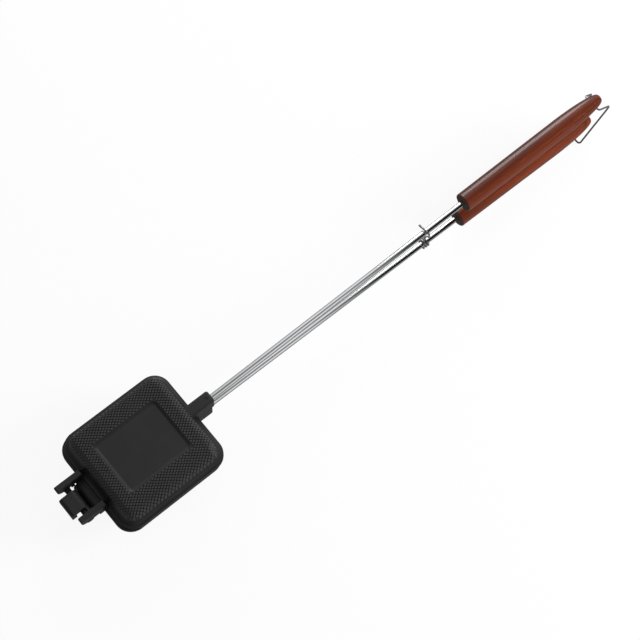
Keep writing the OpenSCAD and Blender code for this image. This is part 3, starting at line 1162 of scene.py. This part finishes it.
class PIEIRON_OT_stage(bpy.types.Operator):
    """Set up the floor, the lights and the camera"""

    bl_idname = "pie_iron.stage"
    bl_label = "Stage"

    def execute(self, context):
        look = context.scene.pie_iron_stage
        self.floor(look)
        self.world(look)
        self.lamps(look)
        self.card()
        self.camera()
        context.scene.view_settings.view_transform = "Standard"
        return {"FINISHED"}

    def floor(self, look):
        """A wide level pale floor, just under the lowest point of the iron, closed or open."""
        material, start = fresh_material("pale_floor")
        camera = start.add("ShaderNodeLightPath", out=0)
        glossy = start.add("ShaderNodeLightPath", out=3)
        seen = camera * 0.9 + glossy * 0.9
        grain = noise(start, object_pattern(start), 30, 2, 0.5)
        colour = grain.blend((*look.floor_colour, 1), (0.92, 0.92, 0.92, 1))
        matt = start.add("ShaderNodeBsdfPrincipled", sockets={"Base Color": colour, "Roughness": 0.9})
        white = glossy.blend((1, 1, 1, 1), (0.2, 0.2, 0.2, 1))
        glow = start.add("ShaderNodeEmission", sockets={"Color": white, "Strength": 1.0})
        blend = start.add("ShaderNodeMixShader", sockets={0: seen, 1: matt, 2: glow})
        start.add("ShaderNodeOutputMaterial", sockets={"Surface": blend})
        bm = bmesh.new()
        bmesh.ops.create_grid(bm, x_segments=8, y_segments=8, size=4)
        bmesh.ops.translate(bm, vec=(0, 0, FLOOR_LEVEL), verts=bm.verts)
        mesh = as_mesh(bm, "floor")
        mesh.materials.append(material)
        floor = bpy.data.objects.new("floor", mesh)
        bpy.context.scene.collection.objects.link(floor)

    def world(self, look):
        """White to the camera, a soft fill to the rest, and to gloss a studio that is dim behind."""
        world = bpy.data.worlds.new("studio")
        world.use_nodes = True
        world.node_tree.nodes.clear()
        bpy.context.scene.world = world
        start = Wire(world.node_tree)
        camera = start.add("ShaderNodeLightPath", out=0)
        glossy = start.add("ShaderNodeLightPath", out=3)
        way = start.add("ShaderNodeTexCoord", out=0)
        along = start.add("ShaderNodeSeparateXYZ", sockets={"Vector": way})
        across = start.add("ShaderNodeSeparateXYZ", sockets={"Vector": way}, out=1)
        up = start.add("ShaderNodeSeparateXYZ", sockets={"Vector": way}, out=2)
        turn = (0 - across).maths("ARCTAN2", 0 - across, up) / math.pi + 0.5
        hinge_end = self.wall_of_light(start, turn, look.over_hinge)
        handle_end = self.wall_of_light(start, turn, look.over_handles)
        behind = 1 - (0 - along).clipped(-0.1, 0.45) * look.dim_behind
        studio = along.clipped(0.2, 0.34).blend(hinge_end, handle_end)
        brightness = start.add("ShaderNodeSeparateXYZ", sockets={"Vector": studio})
        seen = camera + glossy * brightness * behind + (1 - camera) * (1 - glossy) * look.fill
        back = start.add("ShaderNodeBackground", sockets={"Color": (1, 1, 1, 1), "Strength": seen})
        start.add("ShaderNodeOutputWorld", sockets={"Surface": back})

    def wall_of_light(self, start, turn, levels):
        """Brightness of the studio from the left wall, over the top, to the right wall."""
        places = (0.0, 0.3, 0.48, 0.57, 0.68, 0.96)
        stops = [(place, (level,) * 3) for place, level in zip(places, levels)]
        return start.add("ShaderNodeValToRGB", {"stops": stops}, {"Fac": turn})

    def lamps(self, look):
        """A broad key lamp beyond the handles and a soft box on the left."""
        for name, place, size, power in (
            ("key_lamp", (1.65, -1.1, 0.78), 0.9, look.key_power),
            ("soft_box", (1.0, 0.95, 0.55), 0.6, look.side_power),
        ):
            light = bpy.data.lights.new(name, "AREA")
            light.energy = power
            light.size = size
            lamp = bpy.data.objects.new(name, light)
            lamp.location = place
            aim = Vector((0.2, 0, 0)) - lamp.location
            lamp.rotation_euler = aim.to_track_quat("-Z", "Y").to_euler()
            lamp.visible_glossy = name == "soft_box"
            bpy.context.scene.collection.objects.link(lamp)

    def card(self):
        """A thin dark card on the left, which only the gloss of the rods picks up."""
        material, start = fresh_material("dark_card")
        sockets = {"Base Color": (0.03, 0.03, 0.03, 1), "Roughness": 0.9}
        matt = start.add("ShaderNodeBsdfPrincipled", sockets=sockets)
        start.add("ShaderNodeOutputMaterial", sockets={"Surface": matt})
        place = Vector((0.5, 0.9, 0.52))
        bm = bmesh.new()
        bmesh.ops.create_grid(bm, x_segments=4, y_segments=4, size=0.5)
        bmesh.ops.scale(bm, vec=(1.4, 0.06, 1), verts=bm.verts)
        turn = Matrix.Rotation(math.atan2(-place.y, place.z), 4, "X")
        bmesh.ops.transform(bm, matrix=Matrix.Translation(place) @ turn, verts=bm.verts)
        mesh = as_mesh(bm, "thin_card")
        mesh.materials.append(material)
        card = bpy.data.objects.new("thin_card", mesh)
        card.visible_camera = False
        card.visible_diffuse = False
        card.visible_shadow = False
        bpy.context.scene.collection.objects.link(card)

    def camera(self):
        """The photograph's viewing angle."""
        az, el, roll = (math.radians(a) for a in CAMERA_TURN)
        back = Vector((math.cos(el) * math.cos(az), math.cos(el) * math.sin(az), math.sin(el)))
        right = Vector((0, 0, 1)).cross(back).normalized()
        up = back.cross(right)
        rolled = Matrix.Rotation(roll, 3, back)
        right, up = rolled @ right, rolled @ up
        data = bpy.data.cameras.new("camera")
        data.sensor_width = 36
        data.lens = CAMERA_LENS
        data.clip_start = 0.01
        camera = bpy.data.objects.new("camera", data)
        place = Matrix((right, up, back)).transposed().to_4x4()
        place.translation = Vector(CAMERA_TARGET) + back * CAMERA_DISTANCE
        camera.matrix_world = place
        bpy.context.scene.collection.objects.link(camera)
        bpy.context.scene.camera = camera


class PIEIRON_PT_parts(bpy.types.Panel):
    """Lists the pieces of the pie iron and their settings"""

    bl_label = "Pie Iron"
    bl_idname = "PIEIRON_PT_parts"
    bl_space_type = "VIEW_3D"
    bl_region_type = "UI"
    bl_category = "Pie Iron"

    def draw(self, context):
        layout = self.layout
        for operator in OPERATORS:
            layout.operator(operator.bl_idname)
        for group in SETTINGS:
            look = getattr(context.scene, group)
            box = layout.box()
            for name in look.__annotations__:
                box.prop(look, name)


SETTINGS = {
    "pie_iron_casting": PieIronCastingLook,
    "pie_iron_metal": PieIronMetalLook,
    "pie_iron_wood": PieIronWoodLook,
    "pie_iron_stage": PieIronStageLook,
}
OPERATORS = (
    PIEIRON_OT_upper_casting,
    PIEIRON_OT_lower_casting,
    PIEIRON_OT_hinge_pin,
    PIEIRON_OT_rods,
    PIEIRON_OT_cross_pins,
    PIEIRON_OT_handles,
    PIEIRON_OT_latch,
    PIEIRON_OT_bail,
    PIEIRON_OT_stage,
)


def register():
    for group, look in SETTINGS.items():
        bpy.utils.register_class(look)
        setattr(bpy.types.Scene, group, bpy.props.PointerProperty(type=look))
    for operator in OPERATORS:
        bpy.utils.register_class(operator)
    bpy.utils.register_class(PIEIRON_PT_parts)


def unregister():
    bpy.utils.unregister_class(PIEIRON_PT_parts)
    for operator in reversed(OPERATORS):
        bpy.utils.unregister_class(operator)
    for group, look in reversed(SETTINGS.items()):
        delattr(bpy.types.Scene, group)
        bpy.utils.unregister_class(look)


def main():
    register()
    bpy.ops.pie_iron.upper_casting()
    bpy.ops.pie_iron.lower_casting()
    bpy.ops.pie_iron.hinge_pin()
    bpy.ops.pie_iron.rods()
    bpy.ops.pie_iron.cross_pins()
    bpy.ops.pie_iron.handles()
    bpy.ops.pie_iron.latch()
    bpy.ops.pie_iron.bail()
    bpy.ops.pie_iron.stage()


if __name__ == "__main__":
    main()
